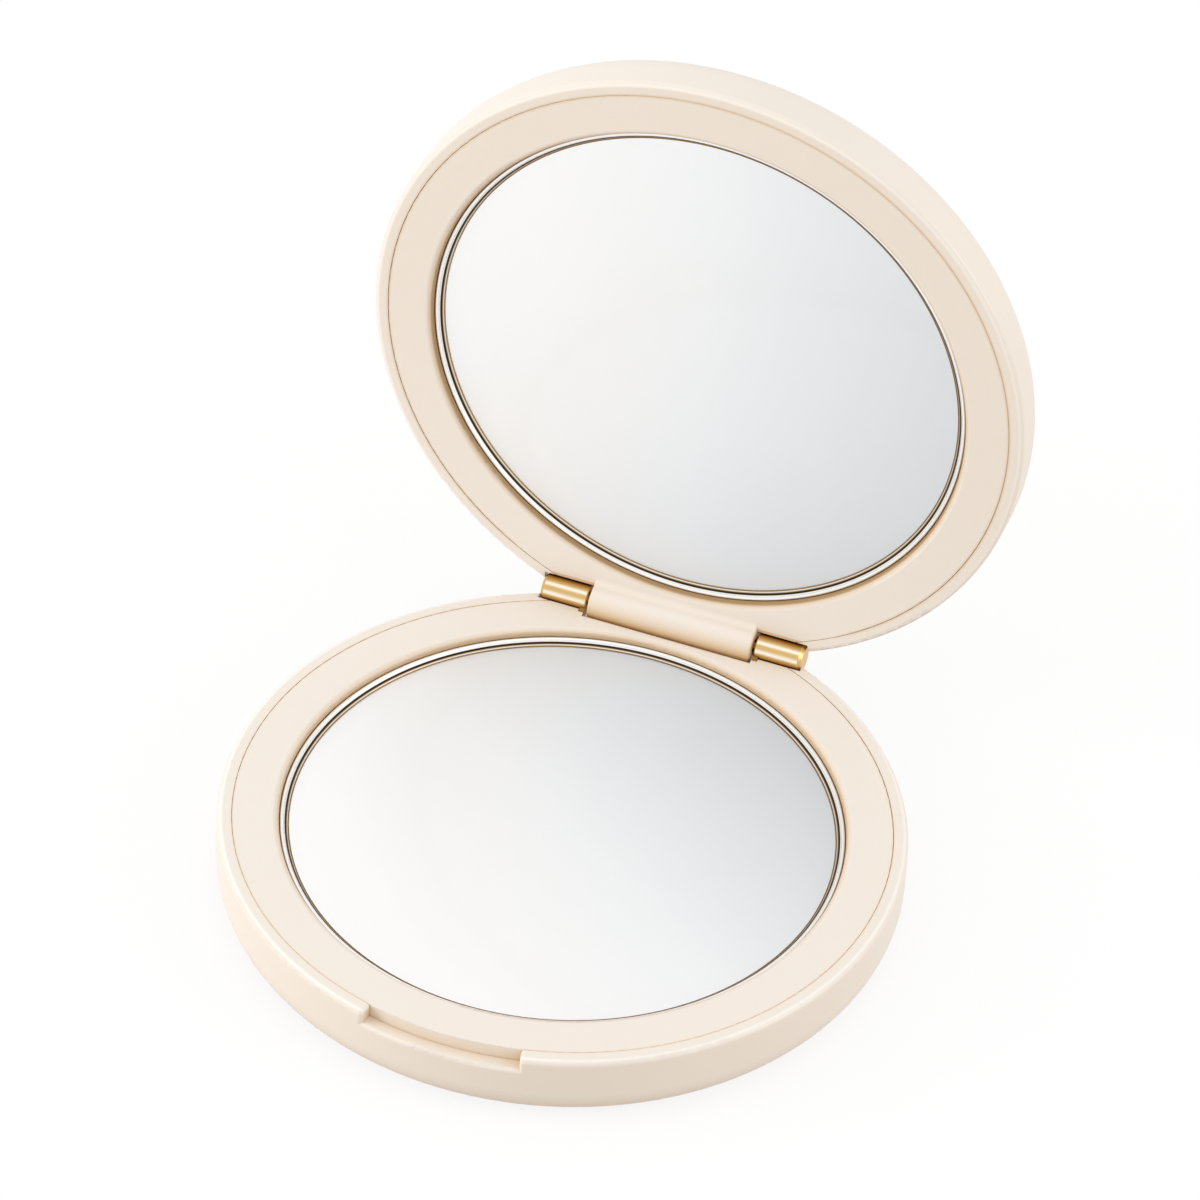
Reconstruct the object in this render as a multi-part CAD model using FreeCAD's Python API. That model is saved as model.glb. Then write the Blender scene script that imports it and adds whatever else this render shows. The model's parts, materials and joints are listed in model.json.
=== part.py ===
import FreeCAD, Part
import math
import os
from FreeCAD import Vector

# A round pocket mirror that opens like a book: two shallow shells, each with a bezel
# around a round mirror, joined at the back by a hinge with two metal knuckles.
# Each half is drawn in its own frame: z = 0 is its face, its body lies below,
# its centre is at x = y = 0 and the hinge is on the +Y side. All sizes in mm.

# The whole mirror
outer_radius = 35.0
base_height = 8.0
lid_height = 6.6
closing_gap = 0.3
rest_angle = 92.0
overrun = 1.0
touch = 0.001

# Shells
edge_round = 3.4
rim_round = 0.6
rim_width = 1.5
rear_rim_width = 0.9
wall = 1.9
floor_thickness = 1.8
hollow_round = 1.2
rear_corner = 5.0
rib_thickness = 1.0
spoke_count = 8
hub_radius = 5.0

# Thumb notch in the front of the base
notch_width = 16.0
notch_depth = 1.5
notch_edge_round = 0.4

# Bezels
bezel_thickness = 1.95
seam_gap = 0.03
bezel_edge_round = 0.08
bezel_width = 4.8
lip_round = 0.7
lip_thickness = 0.8
skirt_thickness = 0.9
skirt_depth = 1.2
skirt_fit = 0.1
skirt_chamfer = 0.3
skirt_sweep = 80.0

# Mirrors with their trim rings
mirror_depth = 1.3
glass_thickness = 1.8
glass_overlap = 0.7
glass_bevel = 0.2
glass_fit = 0.2
tape_thickness = 0.4
tape_margin = 1.2
ring_fit = 0.05
ring_width = 0.98
ring_drop = 0.7
outer_bead_radius = 0.22
inner_bead_radius = 0.07

# Closing magnets under the bezels
magnet_wall = 0.3
magnet_length = 1.6
magnet_cover = 0.7
magnet_fit = 0.05
magnet_post_margin = 0.3
magnet_angle = 24.0
magnet_chamfer = 0.15

# Hinge
hinge_inset = 2.5
rear_clearance = 0.2
barrel_half_length = 9.0
saddle_round = 0.8
barrel_end_round = 0.25
side_gap = 0.3
gate_fit = 0.06
knuckle_radius = 1.65
knuckle_length = 5.1
knuckle_end_chamfer = 0.35
knuckle_inner_chamfer = 0.12
knuckle_cap = 1.0
pocket_gap = 0.12
swing_gap = 0.15
pin_radius = 0.6
pin_chamfer = 0.15
press_fit = 0.01
bore_clearance = 0.15
sleeve_thickness = 0.4
sleeve_length = 5.0
sleeve_recess = 0.3
sleeve_slit = 0.35
running_fit = 0.03

# Legs that carry the knuckles, and their screws
leg_thickness = 0.55
leg_reach = 2.75
leg_drop = 0.25
leg_rear_setback = 0.7
leg_fit = 0.06
foot_thickness = 0.6
foot_width = 4.0
foot_glass_gap = 0.25
foot_wall_gap = 0.25
foot_drop = 0.8
screw_radius = 0.5
screw_head_radius = 0.95
screw_head_height = 0.5
screw_head_chamfer = 0.15
screw_length = 3.0
screw_fit = 0.05
boss_radius = 1.25

# Worked out from the sizes above
half_gap = closing_gap / 2
hinge_y = outer_radius - hinge_inset
rear_flat_y = hinge_y - rear_clearance
seam_radius = outer_radius - rim_width
opening_radius = seam_radius - bezel_width
glass_radius = opening_radius + glass_overlap
recess_radius = glass_radius + glass_fit
hollow_radius = outer_radius - wall
magnet_ring_radius = (recess_radius + hollow_radius) / 2
magnet_pocket_radius = (hollow_radius - recess_radius) / 2 - magnet_wall
magnet_radius = magnet_pocket_radius - magnet_fit
notch_half_angle = math.asin(notch_width / 2 / seam_radius)
barrel_radius = bezel_thickness + half_gap
saddle_reach = math.sqrt((barrel_radius + saddle_round) ** 2 - (saddle_round - half_gap) ** 2)
knuckle_inner = barrel_half_length + side_gap
knuckle_outer = knuckle_inner + knuckle_length
tape_underside = -(mirror_depth + glass_thickness + tape_thickness)
foot_top = -(bezel_thickness + foot_drop)
foot_underside = foot_top - foot_thickness
foot_rear_y = rear_flat_y - wall - foot_wall_gap
foot_front_y = math.sqrt((glass_radius + foot_glass_gap) ** 2 - knuckle_inner ** 2)
foot_depth = foot_rear_y - foot_front_y
screw_x = knuckle_inner + foot_width / 2
screw_y = foot_rear_y - foot_depth / 2
sleeve_radius = pin_radius + running_fit + sleeve_thickness
diagonal_share = math.sqrt(0.5)
x_axis = Vector(1, 0, 0)
y_axis = Vector(0, 1, 0)
z_axis = Vector(0, 0, 1)
hinge_point = Vector(0, hinge_y, half_gap)


# Drawing helpers

def outline_face(start, steps):
    """Close a flat outline: each step is a point to draw to, or a pair (point on the arc, arc end)."""
    edges = []
    here = start
    for step in steps:
        if isinstance(step, tuple):
            edges.append(Part.Arc(here, step[0], step[1]).toShape())
            here = step[1]
        else:
            edges.append(Part.LineSegment(here, step).toShape())
            here = step
    edges.append(Part.LineSegment(here, start).toShape())
    return Part.Face(Part.Wire(edges))


def upright(across, height):
    """A point of an outline that is turned about the Z axis."""
    return Vector(across, 0, height)


def side_on(depth, height):
    """A point of an outline in the YZ plane."""
    return Vector(0, depth, height)


def lathe(start, steps, sweep=360.0):
    return outline_face(start, steps).revolve(Vector(), z_axis, sweep)


def rod(radius, low, high, chamfer=0.0, end_chamfer=0.0):
    """A round bar along X on the hinge line, with its low and high ends chamfered."""
    edge = [upright(radius - chamfer, low)]
    if chamfer:
        edge.append(upright(radius, low + chamfer))
    edge.append(upright(radius, high - end_chamfer))
    if end_chamfer:
        edge.append(upright(radius - end_chamfer, high))
    edge.append(upright(0, high))
    bar = lathe(upright(0, low), edge)
    bar.rotate(Vector(), y_axis, 90)
    bar.translate(hinge_point)
    return bar


def post(radius, bottom, top, place):
    return Part.makeCylinder(radius, top - bottom, Vector(place.x, place.y, bottom))


def slab(face, bottom, top):
    raised = face.copy()
    raised.translate(Vector(0, 0, bottom))
    return raised.extrude(Vector(0, 0, top - bottom))


def along_hinge(face, low, high):
    """Extrude a YZ outline along X from low to high."""
    moved = face.copy()
    moved.translate(Vector(low, 0, 0))
    return moved.extrude(Vector(high - low, 0, 0))


def both_sides(solid):
    return [solid, solid.mirror(Vector(), x_axis)]


def round_level(solid, level, radius):
    """Fillet every edge that lies flat at one level."""
    edges = [e for e in solid.Edges
             if abs(e.BoundBox.ZMin - level) < touch and abs(e.BoundBox.ZMax - level) < touch]
    return solid.makeFillet(radius, edges)


def turn_over(shape):
    """Carry a shape from one half's frame to the other's, as the closed halves lie."""
    turned = shape.copy()
    turned.rotate(Vector(0, 0, half_gap), y_axis, 180)
    return turned


def plan(inset, rear_inset):
    """Round outline with a flat along the hinge and blended corners, drawn in by the insets."""
    radius = outer_radius - inset
    flat_y = rear_flat_y - rear_inset
    corner = rear_corner - inset
    centre_y = flat_y - corner
    centre_x = math.sqrt((radius - corner) ** 2 - centre_y ** 2)
    toward_side = Vector(centre_x, centre_y, 0).normalize()
    toward_corner = (toward_side + y_axis).normalize()
    corner_centre = Vector(centre_x, centre_y, 0)
    side = toward_side * radius
    middle = corner_centre + toward_corner * corner
    flat_end = Vector(centre_x, flat_y, 0)

    def other(point):
        return Vector(-point.x, point.y, 0)

    return outline_face(flat_end, [(middle, side), (Vector(0, -radius, 0), other(side)),
                                   (other(middle), other(flat_end))])


# Shells

def supports(height):
    """Hub, ring and spokes on the shell floor that carry the mirror."""
    bottom = floor_thickness / 2 - height
    ring_outer = glass_radius - tape_margin
    ring_inner = ring_outer - rib_thickness
    pieces = [lathe(upright(radius - rib_thickness, bottom),
                    [upright(radius, bottom), upright(radius, tape_underside),
                     upright(radius - rib_thickness, tape_underside)])
              for radius in (hub_radius, ring_outer)]
    spoke_start = hub_radius - rib_thickness / 2
    spoke_end = ring_inner + rib_thickness / 2
    for index in range(spoke_count):
        spoke = Part.makeBox(spoke_end - spoke_start, rib_thickness, tape_underside - bottom,
                             Vector(spoke_start, -rib_thickness / 2, bottom))
        spoke.rotate(Vector(), z_axis, 360 * (index + 0.5) / spoke_count)
        pieces.append(spoke)
    return pieces


def magnet_places():
    swing = math.radians(magnet_angle)
    right = Vector(math.sin(swing), -math.cos(swing), 0) * magnet_ring_radius
    return [right, Vector(-right.x, right.y, 0)]


def magnet_posts(height):
    top = -(magnet_cover + magnet_length)
    radius = magnet_radius + magnet_post_margin
    return [post(radius, floor_thickness / 2 - height, top, place) for place in magnet_places()]


def shell(height):
    body = slab(plan(0, 0), -height, 0)
    body = round_level(body, -height, edge_round)
    body = round_level(body, 0, rim_round)
    bezel_seat = slab(plan(rim_width, rear_rim_width), -bezel_thickness, overrun)
    hollow = slab(plan(wall, wall), floor_thickness - height, overrun)
    hollow = round_level(hollow, floor_thickness - height, hollow_round)
    body = body.cut([bezel_seat, hollow])
    return body.fuse(supports(height) + magnet_posts(height))


def thumb_notch():
    """A curved ledge cut in the front of the rim, along the edge of the bezel."""
    reach = outer_radius + overrun
    cutter = lathe(upright(seam_radius, overrun),
                   [upright(seam_radius, -notch_depth), upright(reach, -notch_depth), upright(reach, overrun)],
                   2 * math.degrees(notch_half_angle))
    cutter.rotate(Vector(), z_axis, -90 - math.degrees(notch_half_angle))
    return cutter


def soften_notch(body):
    """Round the rim's edges where the thumb notch starts and ends, and the edge of its ledge."""
    edges = []
    for edge in body.Edges:
        middle = edge.valueAt((edge.FirstParameter + edge.LastParameter) / 2)
        radius = math.hypot(middle.x, middle.y)
        angle = math.atan2(abs(middle.x), -middle.y)
        at_end = abs(angle - notch_half_angle) * outer_radius < touch
        above_floor = middle.z > touch - notch_depth
        on_ledge = abs(middle.z + notch_depth) < touch and abs(radius - outer_radius) < touch
        if radius > seam_radius + touch and (at_end and above_floor or on_ledge):
            edges.append(edge)
    return body.makeFillet(notch_edge_round, edges)


# Bezels and what they hold

def bezel(root=None):
    """Flat ring with a rolled inner lip that holds the trim ring and the mirror down."""
    plate = slab(plan(rim_width + seam_gap, rear_rim_width + seam_gap), -bezel_thickness, 0)
    plate = round_level(plate, 0, bezel_edge_round)
    if root:
        plate = plate.fuse(root)
    lip = upright(opening_radius + lip_round, -lip_round)
    lip_middle = lip + upright(-lip_round, lip_round) * diagonal_share
    under = -(bezel_thickness + overrun)
    opening = lathe(upright(0, overrun),
                    [upright(lip.x, overrun), upright(lip.x, 0), (lip_middle, upright(opening_radius, lip.z)),
                     upright(opening_radius, -lip_thickness), upright(recess_radius, -lip_thickness),
                     upright(recess_radius, under), upright(0, under)])
    pockets = [post(magnet_pocket_radius, under, -magnet_cover, place) for place in magnet_places()]
    return plate.cut([opening] + pockets).fuse(skirts())


def skirts():
    """Two curved walls under the bezel that locate it inside the shell."""
    outer = hollow_radius - skirt_fit
    inner = outer - skirt_thickness
    bottom = -(bezel_thickness + skirt_depth)
    top = -bezel_thickness / 2
    strip = lathe(upright(inner, bottom),
                  [upright(outer - skirt_chamfer, bottom), upright(outer, bottom + skirt_chamfer),
                   upright(outer, top), upright(inner, top)], skirt_sweep)
    strip.rotate(Vector(), z_axis, -skirt_sweep / 2)
    return both_sides(strip)


def mirror_ring():
    """Bright trim ring: a flange under the bezel lip, an outer bead, a slope and an inner bead."""
    outer = opening_radius - ring_fit
    inner = outer - ring_width
    seat = -mirror_depth
    bead_level = -(ring_drop + outer_bead_radius)
    bead_in = outer - 2 * outer_bead_radius
    lip_level = seat + inner_bead_radius
    flange = glass_radius
    return lathe(upright(inner, seat),
                 [upright(inner, lip_level),
                  (upright(inner + inner_bead_radius, lip_level + inner_bead_radius),
                   upright(inner + 2 * inner_bead_radius, lip_level)),
                  upright(bead_in, bead_level),
                  (upright(bead_in + outer_bead_radius, bead_level + outer_bead_radius),
                   upright(outer, bead_level)),
                  upright(outer, -lip_thickness), upright(flange, -lip_thickness), upright(flange, seat)])


def mirror_glass():
    top = -mirror_depth
    bottom = top - glass_thickness
    return lathe(upright(0, bottom),
                 [upright(glass_radius - glass_bevel, bottom), upright(glass_radius, bottom + glass_bevel),
                  upright(glass_radius, top - glass_bevel), upright(glass_radius - glass_bevel, top),
                  upright(0, top)])


def mirror_tape():
    return post(glass_radius - tape_margin, tape_underside, tape_underside + tape_thickness, Vector())


def magnets():
    bottom = -(magnet_cover + magnet_length)
    discs = []
    for place in magnet_places():
        disc = lathe(upright(0, bottom),
                     [upright(magnet_radius - magnet_chamfer, bottom),
                      upright(magnet_radius, bottom + magnet_chamfer),
                      upright(magnet_radius, -magnet_cover - magnet_chamfer),
                      upright(magnet_radius - magnet_chamfer, -magnet_cover), upright(0, -magnet_cover)])
        disc.translate(place)
        discs.append(disc)
    return Part.makeCompound(discs)


# Hinge

def saddle_points(clearance):
    """Start, middle and end of the hollow arc from the lid's face to its barrel."""
    centre = side_on(hinge_y - saddle_reach, saddle_round)
    to_barrel = (hinge_point - centre).normalize()
    to_face = -z_axis
    between = (to_barrel + to_face).normalize()
    radius = saddle_round - clearance
    return [centre + toward * radius for toward in (to_face, between, to_barrel)]


def barrel():
    """Round barrel on the lid's bezel, blended into its face by a hollow saddle."""
    start, middle, meet = saddle_points(0)
    top = side_on(hinge_y, half_gap + barrel_radius)
    rear = side_on(hinge_y + barrel_radius, half_gap)
    lower = side_on(hinge_y + barrel_radius * diagonal_share, half_gap - barrel_radius * diagonal_share)
    bottom = side_on(hinge_y, -bezel_thickness)
    section = outline_face(start, [(middle, meet), (top, rear), (lower, bottom),
                                   side_on(start.y, -bezel_thickness)])
    solid = along_hinge(section, -barrel_half_length, barrel_half_length)
    ends = [e for e in solid.Edges if e.BoundBox.XLength < touch and e.BoundBox.ZMax > half_gap + touch]
    solid = solid.makeFillet(barrel_end_round, ends)
    bore = rod(pin_radius + bore_clearance, -barrel_half_length - overrun, barrel_half_length + overrun)
    sockets = [rod(sleeve_radius + press_fit, low, low + sleeve_length + sleeve_recess)
               for low in (-barrel_half_length, barrel_half_length - sleeve_length - sleeve_recess)]
    return solid, [bore] + sockets


def barrel_slot():
    """The room in the base that the closed lid's barrel and saddle take, in the base's frame."""
    start, middle, meet = saddle_points(closing_gap)
    radius = barrel_radius + closing_gap
    top = side_on(hinge_y, half_gap + radius)
    rear = side_on(hinge_y + radius, half_gap)
    section = outline_face(start, [(middle, meet), (top, rear), side_on(rear.y, -overrun),
                                   side_on(start.y, -overrun)])
    reach = barrel_half_length + side_gap
    return turn_over(along_hinge(section, -reach, reach))


def barrel_gate():
    """Opening in the lid shell's rear wall where the barrel's root passes."""
    reach = barrel_half_length + gate_fit
    return Part.makeBox(2 * reach, rear_rim_width + 2 * overrun, bezel_thickness + overrun,
                        Vector(-reach, rear_flat_y - rear_rim_width - overrun, -bezel_thickness))


def knuckle_room(gap, low):
    """Round pockets about the hinge line for both knuckles."""
    return both_sides(rod(knuckle_radius + gap, low, knuckle_outer + gap))


def leg_outline(fit):
    """Side view of a knuckle's leg: from the barrel down through the bezel to the foot."""
    front = hinge_y - leg_reach - fit
    rear = hinge_y - leg_rear_setback + fit
    return outline_face(side_on(hinge_y - knuckle_radius, half_gap),
                        [side_on(front, -leg_drop + fit), side_on(front, foot_top),
                         side_on(foot_front_y - fit, foot_top), side_on(foot_front_y - fit, foot_underside),
                         side_on(rear, foot_underside), side_on(rear, half_gap)])


def leg_room():
    solid = along_hinge(leg_outline(leg_fit), knuckle_inner - leg_fit, knuckle_inner + leg_thickness + leg_fit)
    return both_sides(solid)


def knuckle():
    """Right-hand knuckle: a closed barrel on a thin leg with a screwed foot."""
    body = rod(knuckle_radius, knuckle_inner, knuckle_outer, knuckle_inner_chamfer, knuckle_end_chamfer)
    leg = along_hinge(leg_outline(0), knuckle_inner, knuckle_inner + leg_thickness)
    plate = Part.makeBox(foot_width, foot_depth, foot_thickness,
                         Vector(knuckle_inner, foot_front_y, foot_underside))
    foot = plate.common(slab(plan(wall + foot_wall_gap, wall + foot_wall_gap), foot_underside, foot_top))
    bore = rod(pin_radius + press_fit, knuckle_inner - overrun, knuckle_outer - knuckle_cap)
    hole = post(screw_radius + screw_fit, foot_underside - overrun, foot_top + overrun,
                Vector(screw_x, screw_y, 0))
    return body.fuse([leg, foot]).cut([bore, hole])


def hinge_pin():
    reach = knuckle_outer - knuckle_cap - press_fit
    return rod(pin_radius, -reach, reach, pin_chamfer, pin_chamfer)


def friction_sleeves():
    """Split sleeves in the ends of the barrel that grip the pin."""
    high = barrel_half_length - sleeve_recess
    low = high - sleeve_length
    tube = rod(sleeve_radius, low, high).cut(rod(pin_radius + running_fit, low - overrun, high + overrun))
    slit = Part.makeBox(sleeve_length + 2 * overrun, sleeve_slit, sleeve_radius + overrun,
                        hinge_point + Vector(low - overrun, -sleeve_slit / 2, -sleeve_radius - overrun))
    return Part.makeCompound(both_sides(tube.cut(slit)))


def screws():
    """Small flat-topped screws that hold the knuckles' feet."""
    tip = foot_top - screw_length
    crown = foot_top + screw_head_height
    screw = lathe(upright(0, tip),
                  [upright(screw_radius, tip), upright(screw_radius, foot_top),
                   upright(screw_head_radius, foot_top),
                   upright(screw_head_radius, crown - screw_head_chamfer),
                   upright(screw_head_radius - screw_head_chamfer, crown), upright(0, crown)])
    screw.translate(Vector(screw_x, screw_y, 0))
    return Part.makeCompound(both_sides(screw))


def screw_bosses(height):
    place = Vector(screw_x, screw_y, 0)
    return both_sides(post(boss_radius, floor_thickness / 2 - height, foot_underside, place))


def screw_rooms():
    """Holes for the screws in their bosses, and room for their heads beside the wall."""
    place = Vector(screw_x, screw_y, 0)
    hole = post(screw_radius + press_fit, foot_top - screw_length - screw_fit, foot_underside, place)
    head_room = post(screw_head_radius + screw_fit, foot_top, -bezel_thickness, place)
    return both_sides(hole) + both_sides(head_room)


# The two halves

def base_parts():
    rooms = [barrel_slot()] + knuckle_room(pocket_gap, knuckle_inner - pocket_gap) + leg_room()
    housing = soften_notch(shell(base_height).cut([thumb_notch()]))
    housing = housing.fuse(screw_bosses(base_height)).cut(rooms + screw_rooms())
    right_knuckle = knuckle()
    return {"base_shell": housing, "base_bezel": bezel().cut(rooms), "base_mirror_ring": mirror_ring(),
            "base_mirror_glass": mirror_glass(), "base_mirror_tape": mirror_tape(),
            "base_magnets": magnets(), "hinge_knuckle_right": right_knuckle,
            "hinge_knuckle_left": right_knuckle.mirror(Vector(), x_axis), "hinge_leg_screws": screws(),
            "hinge_pin": hinge_pin()}


def lid_parts():
    rooms = knuckle_room(swing_gap, barrel_half_length)
    root, bores = barrel()
    frame = bezel(root).cut(rooms + bores)
    return {"lid_shell": shell(lid_height).cut(rooms + [barrel_gate()]), "lid_bezel": frame,
            "lid_mirror_ring": mirror_ring(), "lid_mirror_glass": mirror_glass(),
            "lid_mirror_tape": mirror_tape(), "lid_magnets": magnets(),
            "hinge_friction_sleeves": friction_sleeves()}


def main():
    os.makedirs("parts", exist_ok=True)
    pieces = base_parts()
    for name, shape in lid_parts().items():
        lid_piece = turn_over(shape)
        lid_piece.rotate(hinge_point, x_axis, -rest_angle)
        pieces[name] = lid_piece
    for name, shape in pieces.items():
        shape.translate(Vector(0, 0, base_height))
        shape.exportStep("parts/" + name + ".step")
        print(name, "solids", len(shape.Solids), "valid", shape.isValid(), "volume", round(shape.Volume, 2))


main()
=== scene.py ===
import json
import math

import bpy
from bpy.props import FloatProperty, FloatVectorProperty, PointerProperty
from mathutils import Matrix, Vector


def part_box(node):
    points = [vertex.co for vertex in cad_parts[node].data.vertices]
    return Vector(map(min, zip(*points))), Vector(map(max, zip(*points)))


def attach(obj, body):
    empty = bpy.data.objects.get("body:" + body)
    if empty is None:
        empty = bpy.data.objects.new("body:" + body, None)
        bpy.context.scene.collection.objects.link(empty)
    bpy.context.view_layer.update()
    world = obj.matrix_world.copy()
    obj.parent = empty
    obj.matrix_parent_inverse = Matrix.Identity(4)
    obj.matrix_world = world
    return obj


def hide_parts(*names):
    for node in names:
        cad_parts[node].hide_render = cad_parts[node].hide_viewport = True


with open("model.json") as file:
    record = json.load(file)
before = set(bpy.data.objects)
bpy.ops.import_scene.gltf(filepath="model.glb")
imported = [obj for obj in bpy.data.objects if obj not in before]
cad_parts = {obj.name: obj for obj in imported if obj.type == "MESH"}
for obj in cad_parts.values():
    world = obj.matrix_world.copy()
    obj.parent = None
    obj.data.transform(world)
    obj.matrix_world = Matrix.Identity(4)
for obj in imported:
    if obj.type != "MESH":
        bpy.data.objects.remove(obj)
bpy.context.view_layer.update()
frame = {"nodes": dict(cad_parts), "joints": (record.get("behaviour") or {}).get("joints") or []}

bl_info = {
    "name": "Compact Mirror Studio",
    "version": (1, 0, 0),
    "blender": (4, 5, 0),
    "location": "3D View > Sidebar > Compact",
    "description": "Finishes a round folding pocket mirror and sets it on a white studio floor",
    "category": "Object",
}

MM = 0.001
NODES = frame["nodes"]
HINGE = frame["joints"][0]
HINGE_PLACE = Vector(HINGE["pos_m"])
CLOSING_TURN = math.radians(-HINGE["range_deg"][0])
BASE_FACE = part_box("base_shell")[1].z
GLASS_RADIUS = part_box("base_mirror_glass")[1].x
SEAM_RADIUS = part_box("base_bezel")[1].x
WHITE = (1.0, 1.0, 1.0, 1.0)
TURN_STEPS = 288
BEAD_STEPS = 12
SHARP_ANGLE = math.radians(40)
HALF_TURN_DEGREES = 180
NEAR_CLIP_SHARE = 0.1
SOFT_DETAIL = 2.0
FINE_DETAIL = 1.0

# How the share of hidden room above a surface turns into the strength of its painted tan shade
HIDDEN_GAIN = 1.4
HIDDEN_FLOOR = 0.1
HIDDEN_SAMPLES = 8

# Where a mirror's painted light, middle and shaded tones lie, as shares of the way across its glass
MIRROR_STOPS = (0.2, 0.5, 0.95)

# Painted highlights and shade round a knuckle: each tone at its degrees up from the front of the hinge line
GOLD_BANDS = ((-12, "edge"), (2, "shade"), (14, "colour"), (19, "glint"), (25, "glint"), (36, "colour"),
              (47, "colour"), (55, "glint"), (59, "glint"), (68, "colour"), (84, "shade"), (104, "edge"))
# Room below the front for the lowest band, as a share of half a turn
BAND_OFFSET = 0.1
# How far along the hinge a face of a knuckle looks where its end starts, and from there to a full end
END_START = 1 / 3
END_RISE = 1 / 3

# Sockets of a Mix node that mixes colours
COLOUR_A = 6
COLOUR_B = 7
COLOUR_OUT = 2


# Sizes and colours that a user may change

def length(label, text, value):
    return FloatProperty(name=label, description=text, default=value, unit="LENGTH", precision=5)


def angle(label, text, degrees):
    return FloatProperty(name=label, description=text, default=math.radians(degrees), subtype="ANGLE")


def share(label, text, value):
    return FloatProperty(name=label, description=text, default=value, subtype="FACTOR", min=0, max=1)


def level(label, text, value):
    return FloatProperty(name=label, description=text, default=value, min=0)


def screen_to_linear(part):
    return part / 12.92 if part <= 0.04045 else ((part + 0.055) / 1.055) ** 2.4


def colour(label, text, red, green, blue):
    """A colour property, written as it shows on a screen, from 0 to 255."""
    linear = [screen_to_linear(part / 255) for part in (red, green, blue)]
    return FloatVectorProperty(name=label, description=text, default=(*linear, 1.0), size=4,
                               subtype="COLOR", min=0, max=1)


def place(label, text, point):
    return FloatVectorProperty(name=label, description=text, default=point, subtype="TRANSLATION",
                               unit="LENGTH")


class CompactPlastic(bpy.types.PropertyGroup):
    """The moulded plastic of the shells and bezels."""

    shell_colour: colour("Shell", "Cream of the two shells", 243, 234, 223)
    bezel_colour: colour("Bezel", "Cream of the two bezels", 243, 234, 223)
    tone_shift: share("Tone shift", "Strength of the faint cloudy changes of tone", 0.25)
    tone_colour: colour("Tone", "Warmer cream of the cloudy patches", 239, 225, 209)
    # Painted shade: tan mixed into the plastic in its hollows, on the lips' roll and under the hinge barrel
    shade_colour: colour("Shade", "Warm tan where the plastic turns into a hollow", 216, 178, 122)
    shell_reach: length("Shell reach", "How far the tan spreads out of a hollow of a shell", 3.0 * MM)
    shell_shade: share("Shell shade", "Strength of the tan in hollows of the shells", 0.55)
    bezel_reach: length("Bezel reach", "How far the tan spreads out of a hollow of a bezel", 5.0 * MM)
    bezel_shade: share("Bezel shade", "Strength of the tan in hollows of the bezels", 0.75)
    # Painted shade: brown at the lips' edge and in the trim rings' crevices
    lip_brown: colour("Lip brown", "Brown at the edge of the lips, beside the trim rings", 126, 88, 40)
    # Painted shade: soft tan lines along the seams' round, beside their gaps
    base_seam_colour: colour("Base seam", "Soft line between the base's shell and bezel", 240, 217, 190)
    lid_seam_colour: colour("Lid seam", "Soft line between the lid's shell and bezel", 212, 176, 118)
    # Painted highlight, not a polished edge: a pale line round the rims' outer edge at the faces
    rim_highlight_colour: colour("Rim edge", "Pale polished edge of the rims", 253, 247, 239)
    edge_radius: length("Edge radius", "Radius of the pale edge of the rims", 34.6 * MM)
    edge_width: length("Edge width", "Reach of the pale edge to each side", 0.26 * MM)
    seam_width: length("Seam width", "Reach of the soft line to each side of the seam", 0.3 * MM)
    seam_end: length("Seam end", "How far to the rear the seam is round", 29 * MM)
    seam_fade: length("Seam fade", "Length over which the soft line fades at its ends", 2 * MM)
    face_reach: length("Face reach", "How far from the faces the soft line reaches", 0.28 * MM)
    seam_strength: share("Seam strength", "Strength of the soft line along the seams", 0.5)
    notch_width: length("Notch width", "Width of the thumb notch, where the soft line stops", 16.4 * MM)
    lip_radius: length("Lip radius", "Radius of the edge of the bezels' rolled lips", 28.7 * MM)
    lip_round: length("Lip round", "Radius of the roll of the bezels' lips", 0.7 * MM)
    # Painted shade on the bezels' lips: where its tan and brown start and grow, and how strong they are
    tan_start: share("Tan start", "How far down a lip's roll its tan starts", 0.15)
    tan_full: share("Tan full", "How far down a lip's roll its tan is full", 0.9)
    base_brown_start: share("Base brown start", "How far down the base lip's roll its brown starts", 0.7)
    lid_brown_start: share("Lid brown start", "How far down the lid lip's roll its brown starts", 0.65)
    brown_rise: share("Brown rise", "Share of a lip's roll over which its brown grows", 0.25)
    base_lip_tan: share("Base lip tan", "Strength of the tan on the base bezel's lip", 0.55)
    base_lip_brown: share("Base lip brown", "Strength of the brown at the base lip's edge", 0.4)
    lid_lip_tan: share("Lid lip tan", "Strength of the tan on the lid bezel's lip", 0.8)
    lid_lip_brown: share("Lid lip brown", "Strength of the brown at the lid lip's edge", 0.75)
    barrel_reach: length("Barrel reach", "Reach of the barrel's shade from the hinge line", 2.13 * MM)
    barrel_light: share("Barrel light", "How far up the barrel faces where its shade starts", 0.86)
    barrel_dark: share("Barrel dark", "How far down the barrel faces where its shade is full", 0.03)
    barrel_tan: share("Barrel tan", "Strength of the barrel's shade", 0.7)
    tone_size: length("Tone size", "Size of the cloudy patches", 14 * MM)
    grain_size: length("Grain size", "Size of the fine satin grain", 0.09 * MM)
    grain_depth: length("Grain depth", "Depth of the satin grain", 0.0012 * MM)
    grain_gloss: share("Grain gloss", "How much the satin grain changes the roughness", 0.04)
    roughness: share("Roughness", "How satin the plastic is", 0.3)


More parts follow.
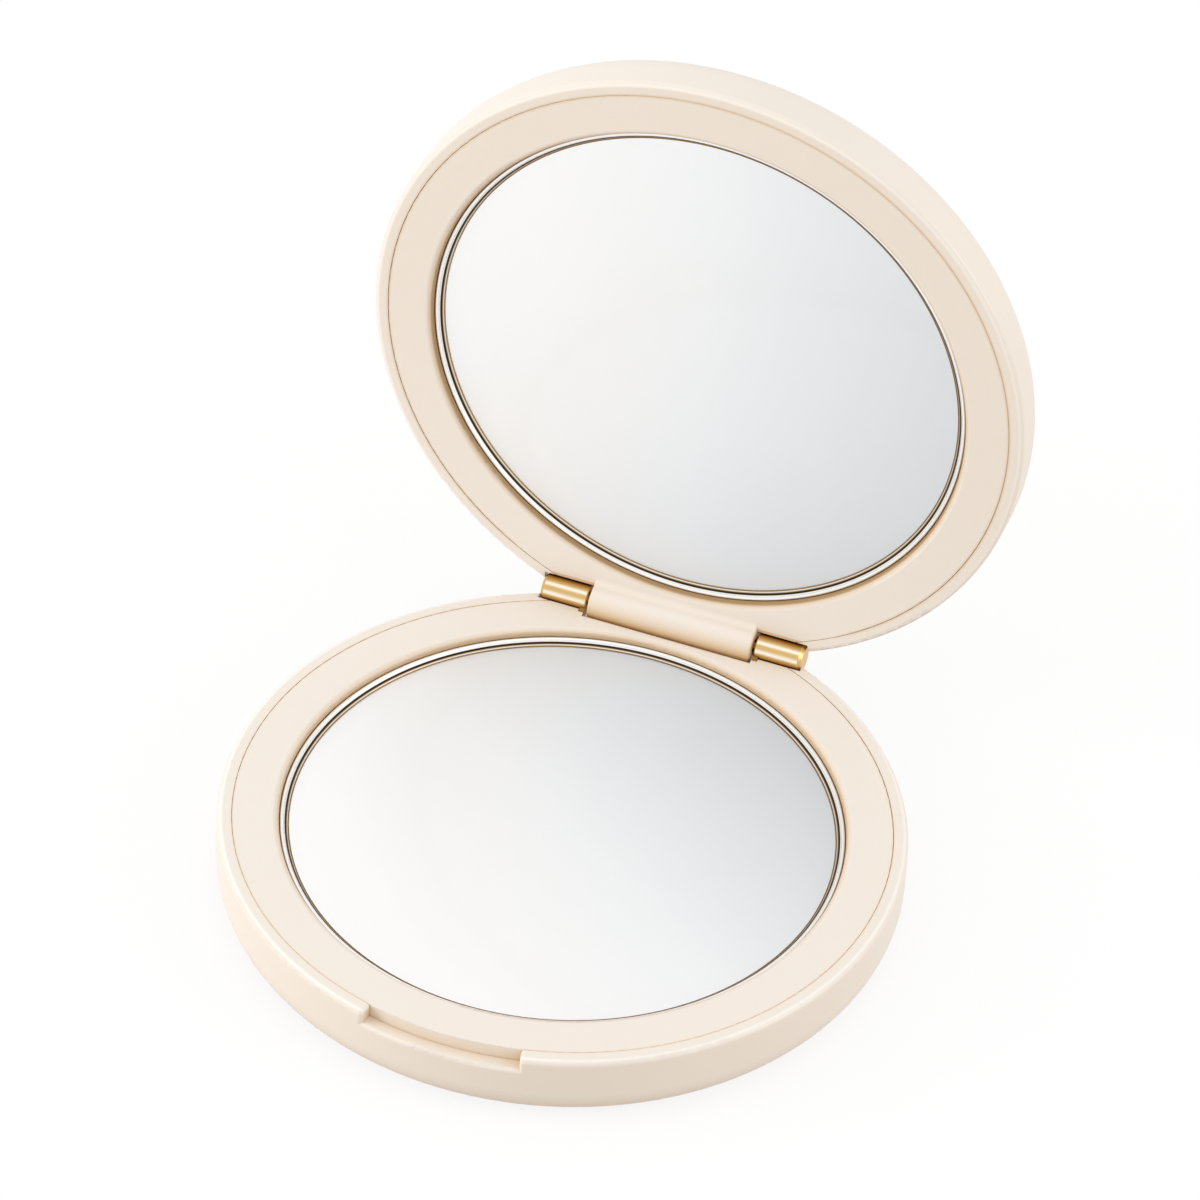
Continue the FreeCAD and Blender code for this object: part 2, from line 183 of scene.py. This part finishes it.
class CompactMetal(bpy.types.PropertyGroup):
    """The plated metal and the mirrors."""

    chrome_colour: colour("Chrome", "Bright beads of the trim rings", 252, 252, 250)
    chrome_shade: colour("Chrome shade", "Grey of worn marks on bare metal and tape", 196, 191, 183)
    # Painted reflections and shade on the trim rings: a warm slope and a dark groove
    slope_shade: colour("Slope shade", "Warm tone of a ring's slope beside its dark groove", 168, 138, 92)
    groove_shade: colour("Chrome line", "Dark groove where bead and slope of a ring meet", 58, 42, 22)
    ring_outer: length("Ring outer", "Outer radius of the part of a ring that shows", 28.65 * MM)
    ring_width: length("Ring width", "Width of a ring from its outer to its inner bead", 0.98 * MM)
    ring_drop: length("Ring drop", "From the bezel's face down to the outer bead", 0.7 * MM)
    outer_bead: length("Outer bead", "Radius of a ring's outer bead", 0.22 * MM)
    inner_bead: length("Inner bead", "Radius of a ring's inner bead", 0.05 * MM)
    lip_thickness: length("Lip thickness", "Thickness of the bezel's lip over a ring's flange", 0.8 * MM)
    # Painted shade: brown at a ring's inner edge where it meets the mirror
    base_ring_edge: colour("Base ring edge", "Edge of the base's trim ring at its mirror", 150, 118, 74)
    lid_ring_edge: colour("Lid ring edge", "Edge of the lid's trim ring at its mirror", 160, 130, 84)
    edge_share: share("Edge share", "Width of a ring's inner edge, as a share of the ring's width", 0.12)
    slope_start: share("Slope start", "Inner side of a ring's warm slope, as a share of its width", 0.15)
    groove_inner: share("Groove inner", "Inner side of a ring's dark groove, as a share of its width", 0.3)
    groove_outer: share("Groove outer", "Outer side of a ring's dark groove, as a share of its width", 0.44)
    line_soft: share("Line softness", "Softness of a ring's dark groove, as a share of its width", 0.05)
    crevice_share: share("Crevice share", "Width of a ring's brown crevice, as a share of its width", 0.1)
    wear_size: length("Wear size", "Size of the faint wear on the rings", 1.5 * MM)
    wear_gloss: share("Wear gloss", "How much the wear changes the roughness of the rings", 0.08)
    chrome_roughness: share("Chrome roughness", "How satin the rings are", 0.32)
    # Painted highlights and shade round the knuckles, in bands of glint, gold, shade and edge
    gold_glint: colour("Gold glint", "Bright lengthwise band on the knuckles", 255, 249, 230)
    gold_colour: colour("Gold", "Satin gold of the knuckles", 222, 184, 120)
    gold_shade: colour("Gold shade", "Deeper gold towards a knuckle's edges", 178, 130, 66)
    gold_edge: colour("Gold edge", "Darkest gold, deep in the knuckle's pocket", 120, 78, 30)
    brush_length: length("Brush length", "Length of the fine brush marks on the gold", 2.4 * MM)
    brush_width: length("Brush width", "Width of the fine brush marks on the gold", 0.06 * MM)
    brush_depth: length("Brush depth", "Depth of the fine brush marks on the gold", 0.0006 * MM)
    brush_shift: share("Brush shift", "How far the brush marks shift the gold's bands", 0.02)
    brush_gloss: share("Brush gloss", "How much the brush marks change the roughness", 0.08)
    gold_roughness: share("Gold roughness", "How satin the gold is", 0.26)
    # Painted reflection and shade across each mirror: its light, middle and dark tones and their direction
    base_mirror_light: colour("Base mirror light", "Bright side of the base's mirror", 255, 255, 255)
    base_mirror_middle: colour("Base mirror middle", "Middle of the base's mirror", 250, 251, 252)
    base_mirror_dark: colour("Base mirror dark", "Shaded side of the base's mirror", 228, 231, 234)
    base_mirror_turn: angle("Base mirror turn", "Direction of the base mirror's shading", 57)
    lid_mirror_light: colour("Lid mirror light", "Bright side of the lid's mirror", 255, 255, 255)
    lid_mirror_middle: colour("Lid mirror middle", "Middle of the lid's mirror", 249, 250, 251)
    lid_mirror_dark: colour("Lid mirror dark", "Shaded side of the lid's mirror", 231, 234, 237)
    lid_mirror_turn: angle("Lid mirror turn", "Direction of the lid mirror's shading", 0)
    mirror_haze: share("Mirror haze", "How soft the reflection in the mirrors is", 0.48)
    mirror_coat: share("Mirror coat", "Strength of the clear reflection of the glass", 0.5)
    coat_haze: share("Coat haze", "How soft the clear reflection of the glass is", 0.02)
    cloud_size: length("Cloud size", "Size of the faint unevenness of the mirrors", 20 * MM)
    cloud_shift: share("Cloud shift", "How far the unevenness shifts a mirror's tones", 0.06)
    cloud_gloss: share("Cloud gloss", "How much the unevenness changes the haze", 0.04)
    steel_colour: colour("Steel", "Screws, sleeves and magnets", 196, 196, 194)
    steel_grain: length("Steel grain", "Size of the worn marks on the steel", 0.2 * MM)
    steel_wear: share("Steel wear", "Strength of the worn marks on the steel", 0.2)
    steel_roughness: share("Steel roughness", "How satin the steel is", 0.25)
    steel_gloss: share("Steel gloss", "How much the worn marks change the roughness", 0.2)
    tape_colour: colour("Tape", "Foam tape behind the mirrors", 214, 212, 204)
    tape_cell: length("Tape cell", "Size of the cells of the foam", 0.25 * MM)
    tape_shade: share("Tape shade", "Strength of the grey in the cells of the foam", 0.3)
    tape_depth: length("Tape depth", "Depth of the cells of the foam", 0.02 * MM)
    tape_roughness: share("Tape roughness", "How matt the foam is", 0.8)


class CompactStudio(bpy.types.PropertyGroup):
    """Camera, lamps and floor."""

    view_azimuth: angle("View azimuth", "Turn of the camera round the mirror", 18.34)
    view_elevation: angle("View elevation", "Height of the camera above the horizon", 41.32)
    view_roll: angle("View roll", "Tilt of the camera about its own axis", 3.45)
    view_distance: length("View distance", "From the camera to the middle of the base's face", 808.5 * MM)
    aim_right: length("Aim right", "How far right of centre the base's middle lies", -3.73 * MM)
    aim_down: length("Aim down", "How far below centre the base's middle lies", 22.18 * MM)
    lens: FloatProperty(name="Lens", description="Focal length", default=240.0, subtype="DISTANCE_CAMERA")
    sky_level: level("Sky level", "Light from all round", 0.84)
    key_power: level("Key power", "Power of the large lamp on the left, in watts", 3.3)
    key_size: length("Key size", "Width of the large lamp on the left", 0.55)
    key_place: place("Key place", "Place of the large lamp on the left", (-0.78, -0.35, 0.25))
    side_power: level("Side power", "Power of the lamp on the right, in watts", 1.4)
    side_size: length("Side size", "Width of the lamp on the right", 0.5)
    side_place: place("Side place", "Place of the lamp on the right", (0.75, 0.0, 0.35))
    top_power: level("Top power", "Power of the small lamp overhead, in watts", 0.1)
    top_size: length("Top size", "Width of the small lamp overhead", 0.06)
    top_place: place("Top place", "Place of the small lamp overhead", (0.0, 0.05, 0.8))
    floor_colour: colour("Floor", "Plain pale floor", 203, 190, 174)
    floor_shadow: share("Floor shadow", "How much of the shadow the floor shows", 0.16)
    floor_size: length("Floor size", "Side of the floor", 6.0)


# Shader building

class Wire:
    """A shader socket in a Python expression: each operator adds its Math node."""

    def __init__(self, paint, socket):
        self.paint = paint
        self.socket = socket

    def maths(self, operation, first, second=0.0, **settings):
        settings["operation"] = operation
        return self.paint.node("ShaderNodeMath", settings, {0: first, 1: second})

    def __add__(self, other):
        return self.maths("ADD", self, other)

    __radd__ = __add__

    def __sub__(self, other):
        return self.maths("SUBTRACT", self, other)

    def __rsub__(self, other):
        return self.maths("SUBTRACT", other, self)

    def __mul__(self, other):
        return self.maths("MULTIPLY", self, other)

    __rmul__ = __mul__

    def __truediv__(self, other):
        return self.maths("DIVIDE", self, other)

    def __pow__(self, other):
        return self.maths("POWER", self, other)

    def __abs__(self):
        return self.maths("ABSOLUTE", self)

    def __lt__(self, other):
        return self.maths("LESS_THAN", self, other)

    def clamped(self):
        return self.maths("ADD", self, 0.0, use_clamp=True)


class Paint:
    """The nodes of one material or of the world."""

    def __init__(self, owner):
        owner.use_nodes = True
        self.owner = owner
        self.tree = owner.node_tree
        self.tree.nodes.clear()

    def node(self, kind, settings=None, sockets=None, out=0):
        """Add a node: its settings first, then a value or a link for each of its sockets."""
        made = self.tree.nodes.new(kind)
        for name, value in (settings or {}).items():
            if name == "stops":
                set_stops(made.color_ramp, value)
            else:
                setattr(made, name, value)
        for key, value in (sockets or {}).items():
            if isinstance(value, Wire):
                self.tree.links.new(value.socket, made.inputs[key])
            else:
                made.inputs[key].default_value = value
        return Wire(self, made.outputs[out]) if len(made.outputs) else None

    def mix(self, factor, first, second):
        return self.node("ShaderNodeMix", {"data_type": "RGBA"},
                         {0: factor, COLOUR_A: first, COLOUR_B: second}, COLOUR_OUT)

    def ramp(self, factor, stops):
        return self.node("ShaderNodeValToRGB", {"stops": stops}, {0: factor})

    def place(self, half):
        """Places on a piece as it lies when the mirror is closed, so that both halves lie flat."""
        here = self.node("ShaderNodeTexCoord", out="Object")
        if half == "base":
            return here
        return self.node("ShaderNodeVectorRotate", {"rotation_type": "X_AXIS"},
                         {"Vector": here, "Center": HINGE_PLACE, "Angle": CLOSING_TURN})

    def parts(self, vector):
        """The X, Y and Z of a vector."""
        split = self.node("ShaderNodeSeparateXYZ", None, {0: vector})
        return [Wire(self, output) for output in split.socket.node.outputs]

    def round_hinge(self):
        """Turn about the hinge line, 0 in front and a quarter turn on top, and distance from it."""
        _, y, z = self.parts(self.node("ShaderNodeTexCoord", out="Object"))
        up, ahead = z - HINGE_PLACE.z, HINGE_PLACE.y - y
        turn = self.node("ShaderNodeMath", {"operation": "ARCTAN2"}, {0: up, 1: ahead})
        return turn, (up * up + ahead * ahead) ** 0.5

    def noise(self, vector, size, detail=SOFT_DETAIL, stretch=(1, 1, 1)):
        """Soft noise from 0 to 1 with features of about one size."""
        scaled = self.node("ShaderNodeVectorMath", {"operation": "MULTIPLY"},
                           {0: vector, 1: [part / size for part in stretch]})
        return self.node("ShaderNodeTexNoise", None, {"Vector": scaled, "Scale": 1.0, "Detail": detail})

    def bump(self, height, depth):
        return self.node("ShaderNodeBump", None, {"Height": height, "Distance": depth})

    def hidden(self, reach):
        """How much of the room above a surface other surfaces take within reach, from 0 to 1."""
        open_share = self.node("ShaderNodeAmbientOcclusion", {"samples": HIDDEN_SAMPLES},
                               {"Distance": reach}, "AO")
        return ((1 - open_share) * HIDDEN_GAIN - HIDDEN_FLOOR).clamped()

    def seen(self):
        """1 for what the eye sees, straight or in metal and glass, and 0 for light."""
        rays = self.node("ShaderNodeLightPath").socket.node.outputs
        camera, glossy, through = (Wire(self, rays[name]) for name in
                                   ("Is Camera Ray", "Is Glossy Ray", "Is Transmission Ray"))
        return (camera + glossy + through).clamped()

    def finish(self, **sockets):
        """End in a Principled surface with these sockets."""
        named = {name.replace("_", " ").title(): value for name, value in sockets.items()}
        return self.output(self.node("ShaderNodeBsdfPrincipled", None, named))

    def output(self, surface):
        kind = "World" if isinstance(self.owner, bpy.types.World) else "Material"
        self.node("ShaderNodeOutput" + kind, None, {"Surface": surface})
        return self.owner


def set_stops(ramp, stops):
    while len(ramp.elements) < len(stops):
        ramp.elements.new(1.0)
    for element, (position, tint) in zip(ramp.elements, stops):
        element.position = position
        element.color = tint


def new_paint(name):
    return Paint(bpy.data.materials.new(name))


def dress(node, material):
    """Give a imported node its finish, in the node's own material slots."""
    slots = NODES[node].data.materials
    if not len(slots):
        raise RuntimeError(node + " has no material slot")
    for index in range(len(slots)):
        slots[index] = material


# Finishes

def cream(paint, here, half, tint):
    """Cream with faint cloudy changes of tone, a painted highlight along the rim edge and a painted soft
    shade line along the seam's round.
    """
    look = bpy.context.scene.compact_plastic
    x, y, z = paint.parts(here)
    body = paint.mix(paint.noise(here, look.tone_size) * look.tone_shift, tint, look.tone_colour)
    radius = (x * x + y * y) ** 0.5
    from_edge = abs(radius - look.edge_radius)
    from_seam = abs(radius - SEAM_RADIUS)
    at_face = abs(z - HINGE_PLACE.z) < look.face_reach
    round_part = ((look.seam_end - y) / look.seam_fade).clamped()
    beside_seam = (1 - from_seam / look.seam_width).clamped() * look.seam_strength
    # Painted shade: a soft line to each side of the seam's gap, on the faces only
    line = beside_seam * at_face * round_part
    if half == "base":
        in_notch = (abs(x) < look.notch_width / 2) * (y < 0)
        line = line * (1 - in_notch)
    # Painted highlight along the rims' outer edge
    pale = (1 - from_edge / look.edge_width).clamped() * at_face
    highlighted = paint.mix(pale, body, look.rim_highlight_colour)
    return paint.mix(line, highlighted, getattr(look, half + "_seam_colour"))


def lip_shade(paint, here, half, body):
    """Painted shade, tan then brown, where a bezel's lip rolls down to its trim ring."""
    look = bpy.context.scene.compact_plastic
    x, y, _ = paint.parts(here)
    down = ((look.lip_radius + look.lip_round - (x * x + y * y) ** 0.5) / look.lip_round).clamped()
    tan = ((down - look.tan_start) / (look.tan_full - look.tan_start)).clamped()
    brown = ((down - getattr(look, half + "_brown_start")) / look.brown_rise).clamped()
    tanned = paint.mix(tan * getattr(look, half + "_lip_tan"), body, look.shade_colour)
    return paint.mix(brown * getattr(look, half + "_lip_brown"), tanned, look.lip_brown)


def barrel_shade(paint, body):
    """Tan on whatever side of the hinge barrel faces away from the light above."""
    look = bpy.context.scene.compact_plastic
    _, from_pin = paint.round_hinge()
    _, _, upward = paint.parts(paint.node("ShaderNodeNewGeometry", out="Normal"))
    under = ((look.barrel_light - upward) / (look.barrel_light + look.barrel_dark)).clamped()
    return paint.mix(under * (from_pin < look.barrel_reach) * look.barrel_tan, body, look.shade_colour)


def plastic(paint, here, body, kind):
    """Satin moulded plastic with a painted tan shade in its hollows, and a fine grain."""
    look = bpy.context.scene.compact_plastic
    grain = paint.noise(here, look.grain_size, FINE_DETAIL)
    hidden = paint.hidden(getattr(look, kind + "_reach"))
    # Painted shade: tan mixed in where other surfaces close in over the plastic
    shaded = paint.mix(hidden * getattr(look, kind + "_shade"), body, look.shade_colour)
    return paint.finish(base_color=shaded, roughness=look.roughness + look.grain_gloss * grain,
                        normal=paint.bump(grain, look.grain_depth))


def shell_finish(half):
    paint = new_paint(half + "_shell_plastic")
    here = paint.place(half)
    body = cream(paint, here, half, bpy.context.scene.compact_plastic.shell_colour)
    return plastic(paint, here, body, "shell")


def bezel_finish(half):
    look = bpy.context.scene.compact_plastic
    paint = new_paint(half + "_bezel_plastic")
    here = paint.place(half)
    body = lip_shade(paint, here, half, cream(paint, here, half, look.bezel_colour))
    if half == "lid":
        body = barrel_shade(paint, body)
    return plastic(paint, here, body, "bezel")


def chrome_finish(name, half):
    """Polished trim ring with painted reflections and shade: bright beads, a warm slope and dark lines, the
    same all round.
    """
    look = bpy.context.scene.compact_metal
    paint = new_paint(name)
    here = paint.place(half)
    x, y, _ = paint.parts(here)
    inner = look.ring_outer - look.ring_width
    across = (((x * x + y * y) ** 0.5) - inner) / look.ring_width
    # Painted reflections and shade across the ring, by radius
    tint = paint.ramp(across, [(look.edge_share, getattr(look, half + "_ring_edge")),
                               (look.slope_start, look.chrome_colour),
                               (look.groove_inner - look.line_soft, look.slope_shade),
                               (look.groove_inner, look.groove_shade),
                               (look.groove_outer, look.groove_shade),
                               (look.groove_outer + look.line_soft, look.chrome_colour)])
    # Painted shade: brown in the ring's crevice under the lip
    crevice = ((across - (1 - look.crevice_share)) / look.crevice_share).clamped()
    crevice_shaded = paint.mix(crevice, tint, bpy.context.scene.compact_plastic.lip_brown)
    wear = paint.noise(here, look.wear_size)
    return paint.finish(base_color=crevice_shaded, metallic=1.0,
                        roughness=look.chrome_roughness + look.wear_gloss * wear)


def mirror_finish(name, half):
    """Silvered glass with a painted reflection and shade running soft from one side to the other."""
    look = bpy.context.scene.compact_metal
    turn = getattr(look, half + "_mirror_turn")
    tones = [getattr(look, half + "_mirror_" + tone) for tone in ("light", "middle", "dark")]
    paint = new_paint(name)
    here = paint.place(half)
    x, y, _ = paint.parts(here)
    along = (x * math.cos(turn) + y * math.sin(turn)) / (2 * GLASS_RADIUS) + 0.5
    cloud = paint.noise(here, look.cloud_size)
    tint = paint.ramp(along + look.cloud_shift * (cloud - 0.5), list(zip(MIRROR_STOPS, tones)))
    haze = look.mirror_haze + look.cloud_gloss * cloud
    return paint.finish(base_color=tint, metallic=1.0, roughness=haze, coat_weight=look.mirror_coat,
                        coat_roughness=look.coat_haze)


def gold_finish(name):
    """Satin gold plate with fine marks along the hinge, and painted highlights and shade in bands round it.
    """
    look = bpy.context.scene.compact_metal
    paint = new_paint(name)
    turn, _ = paint.round_hinge()
    marks = paint.noise(paint.place("base"), look.brush_width, FINE_DETAIL,
                        (look.brush_width / look.brush_length, 1, 1))
    bands = [(degrees / HALF_TURN_DEGREES + BAND_OFFSET, getattr(look, "gold_" + tone))
             for degrees, tone in GOLD_BANDS]
    round_tint = paint.ramp(turn / math.pi + BAND_OFFSET + look.brush_shift * (marks - 0.5), bands)
    along, _, _ = paint.parts(paint.node("ShaderNodeTexCoord", out="Normal"))
    end_share = ((abs(along) - END_START) / END_RISE).clamped()
    return paint.finish(base_color=paint.mix(end_share, round_tint, look.gold_colour), metallic=1.0,
                        roughness=look.gold_roughness + look.brush_gloss * marks,
                        normal=paint.bump(marks, look.brush_depth))


def steel_finish(name, half):
    """Bare steel with faint worn marks."""
    look = bpy.context.scene.compact_metal
    paint = new_paint(name)
    marks = paint.noise(paint.place(half), look.steel_grain)
    tint = paint.mix(look.steel_wear * marks, look.steel_colour, look.chrome_shade)
    return paint.finish(base_color=tint, metallic=1.0,
                        roughness=look.steel_roughness + look.steel_gloss * marks)


def tape_finish(name, half):
    """Matt foam with fine cells."""
    look = bpy.context.scene.compact_metal
    paint = new_paint(name)
    cells = paint.noise(paint.place(half), look.tape_cell)
    tint = paint.mix(look.tape_shade * cells, look.tape_colour, look.chrome_shade)
    return paint.finish(base_color=tint, roughness=look.tape_roughness,
                        normal=paint.bump(cells, look.tape_depth))


# The trim rings, turned in finer steps than the solids

def to_half(half):
    """From a half's own frame, with its face at zero height, to where it is at rest."""
    lying = Matrix.Translation((0, 0, BASE_FACE))
    if half == "base":
        return lying
    middle = Matrix.Translation((0, 0, HINGE_PLACE.z))
    over = middle @ Matrix.Rotation(math.pi, 4, "Y") @ middle.inverted()
    hinge = Matrix.Translation(HINGE_PLACE)
    return hinge @ Matrix.Rotation(-CLOSING_TURN, 4, "X") @ hinge.inverted() @ over @ lying


def bead_arc(middle, height, radius):
    """Half a circle over a bead, from its inner foot to its outer foot."""
    turns = [math.pi * (1 - step / BEAD_STEPS) for step in range(BEAD_STEPS + 1)]
    return [(middle + radius * math.cos(turn), height + radius * math.sin(turn)) for turn in turns]


def ring_profile(look):
    """Radius and height of the section of a trim ring: inner bead, slope, outer bead and hidden flange."""
    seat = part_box("base_mirror_ring")[0].z - BASE_FACE
    inner = look.ring_outer - look.ring_width
    lip = bead_arc(inner + look.inner_bead, seat + look.inner_bead, look.inner_bead)
    bead = bead_arc(look.ring_outer - look.outer_bead, -look.ring_drop - look.outer_bead, look.outer_bead)
    under_lip = -look.lip_thickness
    flange = [(look.ring_outer, under_lip), (GLASS_RADIUS, under_lip), (GLASS_RADIUS, seat)]
    return [(inner, seat)] + lip + bead + flange


def turned_piece(name, profile, carry):
    """Turn a closed section of (radius, height) points about the Z axis and carry it to its place."""
    count = len(profile)
    turns = [2 * math.pi * index / TURN_STEPS for index in range(TURN_STEPS)]
    points = [carry @ Vector((radius * math.cos(turn), radius * math.sin(turn), height))
              for turn in turns for radius, height in profile]
    faces = []
    for index in range(TURN_STEPS):
        here, there = index * count, (index + 1) % TURN_STEPS * count
        for start in range(count):
            end = (start + 1) % count
            faces.append((here + start, here + end, there + end, there + start))
    mesh = bpy.data.meshes.new(name)
    mesh.from_pydata(points, [], faces)
    mesh.shade_smooth()
    mesh.set_sharp_from_angle(angle=SHARP_ANGLE)
    piece = bpy.data.objects.new(name, mesh)
    bpy.context.scene.collection.objects.link(piece)
    return piece


# Operators, one for each group of pieces

class COMPACT_OT_dress_shells(bpy.types.Operator):
    """Give both shells their satin cream plastic"""

    bl_idname = "compact.dress_shells"
    bl_label = "Dress shells"

    def execute(self, context):
        for half in ("base", "lid"):
            dress(half + "_shell", shell_finish(half))
        return {"FINISHED"}


class COMPACT_OT_dress_bezels(bpy.types.Operator):
    """Give both bezels their satin cream plastic"""

    bl_idname = "compact.dress_bezels"
    bl_label = "Dress bezels"

    def execute(self, context):
        for half in ("base", "lid"):
            dress(half + "_bezel", bezel_finish(half))
        return {"FINISHED"}


class COMPACT_OT_dress_mirrors(bpy.types.Operator):
    """Finish the mirrors, their trim rings and the tape behind them"""

    bl_idname = "compact.dress_mirrors"
    bl_label = "Dress mirrors"

    def execute(self, context):
        profile = ring_profile(context.scene.compact_metal)
        for half in ("base", "lid"):
            dress(half + "_mirror_glass", mirror_finish(half + "_mirror_silver", half))
            dress(half + "_mirror_tape", tape_finish(half + "_tape_foam", half))
            ring = turned_piece(half + "_trim_ring", profile, to_half(half))
            ring.data.materials.append(chrome_finish(half + "_trim_chrome", half))
            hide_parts(half + "_mirror_ring")
            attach(ring, half)
        return {"FINISHED"}


class COMPACT_OT_dress_hinge(bpy.types.Operator):
    """Finish the hinge: gold knuckles and pin, steel screws and sleeves"""

    bl_idname = "compact.dress_hinge"
    bl_label = "Dress hinge"

    def execute(self, context):
        gold = gold_finish("hinge_gold")
        for node in ("hinge_knuckle_left", "hinge_knuckle_right", "hinge_pin"):
            dress(node, gold)
        dress("hinge_leg_screws", steel_finish("screw_steel", "base"))
        dress("hinge_friction_sleeves", steel_finish("sleeve_steel", "lid"))
        return {"FINISHED"}


class COMPACT_OT_dress_magnets(bpy.types.Operator):
    """Finish the closing magnets inside both halves"""

    bl_idname = "compact.dress_magnets"
    bl_label = "Dress magnets"

    def execute(self, context):
        for half in ("base", "lid"):
            dress(half + "_magnets", steel_finish(half + "_magnet_nickel", half))
        return {"FINISHED"}


class COMPACT_OT_set_stage(bpy.types.Operator):
    """Set the floor, the light and the camera"""

    bl_idname = "compact.set_stage"
    bl_label = "Set stage"

    def execute(self, context):
        studio = context.scene.compact_studio
        context.scene.view_settings.view_transform = "Standard"
        set_world(studio)
        set_floor(studio)
        for lamp in ("key", "side", "top"):
            add_lamp(studio, lamp)
        # The large lamp lights the mirror without showing in its metal and glass
        bpy.data.objects["key_lamp"].visible_glossy = False
        set_camera(studio)
        return {"FINISHED"}


def set_world(studio):
    """White where it is seen, and a plain level of light from all round."""
    world = bpy.data.worlds.new("studio_world")
    bpy.context.scene.world = world
    paint = Paint(world)
    seen = paint.seen()
    strength = seen + (1 - seen) * studio.sky_level
    paint.output(paint.node("ShaderNodeBackground", None, {"Color": WHITE, "Strength": strength}))


def set_floor(studio):
    """A floor that lights the mirror with its pale colour, and looks white with a faint shadow."""
    half = studio.floor_size / 2
    mesh = bpy.data.meshes.new("floor")
    corners = [(-half, -half, 0), (half, -half, 0), (half, half, 0), (-half, half, 0)]
    mesh.from_pydata(corners, [], [range(4)])
    floor = bpy.data.objects.new("floor", mesh)
    bpy.context.scene.collection.objects.link(floor)
    paint = new_paint("floor_paper")
    plain = paint.node("ShaderNodeBsdfDiffuse", None, {"Color": studio.floor_colour})
    glow = paint.node("ShaderNodeEmission", None, {"Color": WHITE, "Strength": 1.0})
    shadow = paint.node("ShaderNodeBsdfDiffuse", None, {"Color": WHITE})
    white = paint.node("ShaderNodeMixShader", None, {0: studio.floor_shadow, 1: glow, 2: shadow})
    surface = paint.node("ShaderNodeMixShader", None, {0: paint.seen(), 1: plain, 2: white})
    mesh.materials.append(paint.output(surface))


def add_lamp(studio, name):
    """A round lamp, with the studio's settings of that name, aimed at the middle of the base's face."""
    light = bpy.data.lights.new(name + "_lamp", "AREA")
    light.shape = "DISK"
    light.size = getattr(studio, name + "_size")
    light.energy = getattr(studio, name + "_power")
    lamp = bpy.data.objects.new(name + "_lamp", light)
    aim = Vector((0, 0, BASE_FACE))
    lamp.location = getattr(studio, name + "_place")
    lamp.rotation_euler = (aim - lamp.location).to_track_quat("-Z", "Y").to_euler()
    bpy.context.scene.collection.objects.link(lamp)


def set_camera(studio):
    """Look at the middle of the base's face from the view's angle, with the view's roll and framing."""
    turn, rise, roll = studio.view_azimuth, studio.view_elevation, studio.view_roll
    back = Vector((math.sin(turn) * math.cos(rise), -math.cos(turn) * math.cos(rise), math.sin(rise)))
    level_right = Vector((math.cos(turn), math.sin(turn), 0))
    level_up = back.cross(level_right)
    right = level_right * math.cos(roll) + level_up * math.sin(roll)
    up = level_up * math.cos(roll) - level_right * math.sin(roll)
    aim = Vector((0, 0, BASE_FACE))
    stand = aim + back * studio.view_distance - right * studio.aim_right + up * studio.aim_down
    data = bpy.data.cameras.new("camera")
    data.lens = studio.lens
    data.clip_start = studio.view_distance * NEAR_CLIP_SHARE
    camera = bpy.data.objects.new("camera", data)
    camera.matrix_world = Matrix.Translation(stand) @ Matrix((right, up, back)).transposed().to_4x4()
    bpy.context.scene.collection.objects.link(camera)
    bpy.context.scene.camera = camera


OPERATORS = (COMPACT_OT_dress_shells, COMPACT_OT_dress_bezels, COMPACT_OT_dress_mirrors,
             COMPACT_OT_dress_hinge, COMPACT_OT_dress_magnets, COMPACT_OT_set_stage)


class COMPACT_PT_studio(bpy.types.Panel):
    """Lists the finishing steps and their settings"""

    bl_idname = "COMPACT_PT_studio"
    bl_label = "Compact Mirror Studio"
    bl_space_type = "VIEW_3D"
    bl_region_type = "UI"
    bl_category = "Compact"

    def draw(self, context):
        for operator in OPERATORS:
            self.layout.operator(operator.bl_idname)
        scene = context.scene
        for settings in (scene.compact_plastic, scene.compact_metal, scene.compact_studio):
            for name in settings.__annotations__:
                self.layout.prop(settings, name)


GROUPS = (CompactPlastic, CompactMetal, CompactStudio)


def register():
    for item in (*GROUPS, *OPERATORS, COMPACT_PT_studio):
        bpy.utils.register_class(item)
    bpy.types.Scene.compact_plastic = PointerProperty(type=CompactPlastic)
    bpy.types.Scene.compact_metal = PointerProperty(type=CompactMetal)
    bpy.types.Scene.compact_studio = PointerProperty(type=CompactStudio)


def unregister():
    del bpy.types.Scene.compact_studio
    del bpy.types.Scene.compact_metal
    del bpy.types.Scene.compact_plastic
    for item in reversed((*GROUPS, *OPERATORS, COMPACT_PT_studio)):
        bpy.utils.unregister_class(item)


def main():
    register()
    bpy.ops.compact.dress_shells()
    bpy.ops.compact.dress_bezels()
    bpy.ops.compact.dress_mirrors()
    bpy.ops.compact.dress_hinge()
    bpy.ops.compact.dress_magnets()
    bpy.ops.compact.set_stage()


if __name__ == "__main__":
    main()
